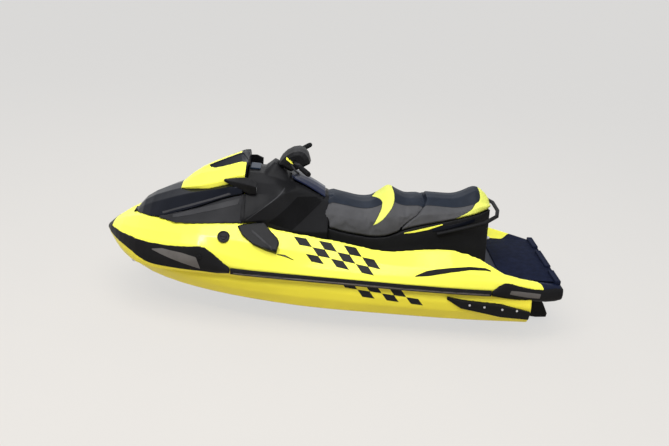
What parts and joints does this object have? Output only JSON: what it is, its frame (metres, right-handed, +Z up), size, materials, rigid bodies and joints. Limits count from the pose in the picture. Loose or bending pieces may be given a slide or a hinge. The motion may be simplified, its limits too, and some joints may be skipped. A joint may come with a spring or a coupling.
{
  "type": "personal watercraft",
  "caption": "Runabout personal watercraft with planing hull, stepped bench seat, steered handlebar, opening hood, jet pump with reverse bucket and stern boarding step.",
  "frame": {"origin": "on the floor under the middle of the craft's length and beam", "axes": "+X towards the bow, +Y to port, +Z up"},
  "size_m": [3.366, 1.2342, 1.2077],
  "materials": {
    "hull_yellow": "gloss",
    "black_moulding": "satin",
    "gloss_black": "gloss",
    "charcoal": "satin",
    "vinyl_black": "satin",
    "grip_rubber": "matt",
    "mat_navy": "matt",
    "steel": "satin",
    "alloy": "satin",
    "engine_grey": "satin",
    "tub_grey": "matt"
  },
  "bodies": {
    "craft": {"bow_bumper": "black_moulding", "hood_hinge": "black_moulding", "rub_rail_left": "black_moulding", "rub_rail_right": "black_moulding", "stern_bumper": "black_moulding", "side_panel_left": "charcoal", "side_panel_right": "charcoal", "console": "gloss_black", "display": "gloss_black", "seat_base": "black_moulding", "front_seat": "vinyl_black", "rear_seat": "vinyl_black", "grab_handle": "black_moulding", "vent_left": "black_moulding", "vent_right": "black_moulding", "fuel_cap": "black_moulding", "bow_eye": "steel", "storage_tub": "tub_grey", "footwell_mat_left": "mat_navy", "footwell_mat_right": "mat_navy", "platform_mat": "mat_navy", "sponson_left": "black_moulding", "sponson_right": "black_moulding", "engine_block": "engine_grey", "hull": "hull_yellow", "deck": "hull_yellow", "ride_plate": "alloy", "pump_housing": "alloy", "tow_hook": "steel", "intake_grate": "alloy", "step_hinge": "steel"},
    "handlebar": {"steering_stem": "steel", "handlebar": "steel", "bar_pad": "black_moulding", "grip_left": "grip_rubber", "grip_right": "grip_rubber", "lever_left": "alloy", "lever_right": "alloy"},
    "hood": {"hood": "gloss_black", "cowl": "hull_yellow", "mirror_left": "black_moulding", "mirror_right": "black_moulding"},
    "glovebox_lid": {"glovebox_lid": "gloss_black"},
    "nozzle": {"steering_nozzle": "alloy"},
    "bucket": {"reverse_bucket": "alloy"},
    "impeller": {"impeller": "steel"},
    "boarding_step": {"boarding_step": "steel"}
  },
  "joints": [
    {"name": "handlebar_steer", "type": "hinge", "parent": "craft", "child": "handlebar", "pos_m": [0.45, 0, 1.03], "axis": [-0.5736, 0, 0.8192], "range_deg": [-20, 20]},
    {"name": "nozzle_steer", "type": "hinge", "parent": "craft", "child": "nozzle", "pos_m": [-1.4, 0, 0.122], "axis": [0, 0, 1], "range_deg": [-20, 20]},
    {"name": "hood_hinge", "type": "hinge", "parent": "craft", "child": "hood", "pos_m": [1.478, 0, 0.651], "axis": [0, 1, 0], "range_deg": [0, 45]},
    {"name": "glovebox_hinge", "type": "hinge", "parent": "craft", "child": "glovebox_lid", "pos_m": [0.336, 0, 1.011], "axis": [0, 1, 0], "range_deg": [0, 45]},
    {"name": "bucket_hinge", "type": "hinge", "parent": "craft", "child": "bucket", "pos_m": [-1.44, 0, 0.122], "axis": [0, 1, 0], "range_deg": [0, 60]},
    {"name": "impeller_spin", "type": "hinge", "parent": "craft", "child": "impeller", "pos_m": [-1, 0, 0.122], "axis": [1, 0, 0], "continuous": true},
    {"name": "boarding_step_hinge", "type": "hinge", "parent": "craft", "child": "boarding_step", "pos_m": [-1.612, -0.33, 0.292], "axis": [0, 1, 0], "range_deg": [0, 100]}
  ],
  "couplings": [
    {"joint": "nozzle_steer", "follows": "handlebar_steer", "ratio": -1}
  ]
}
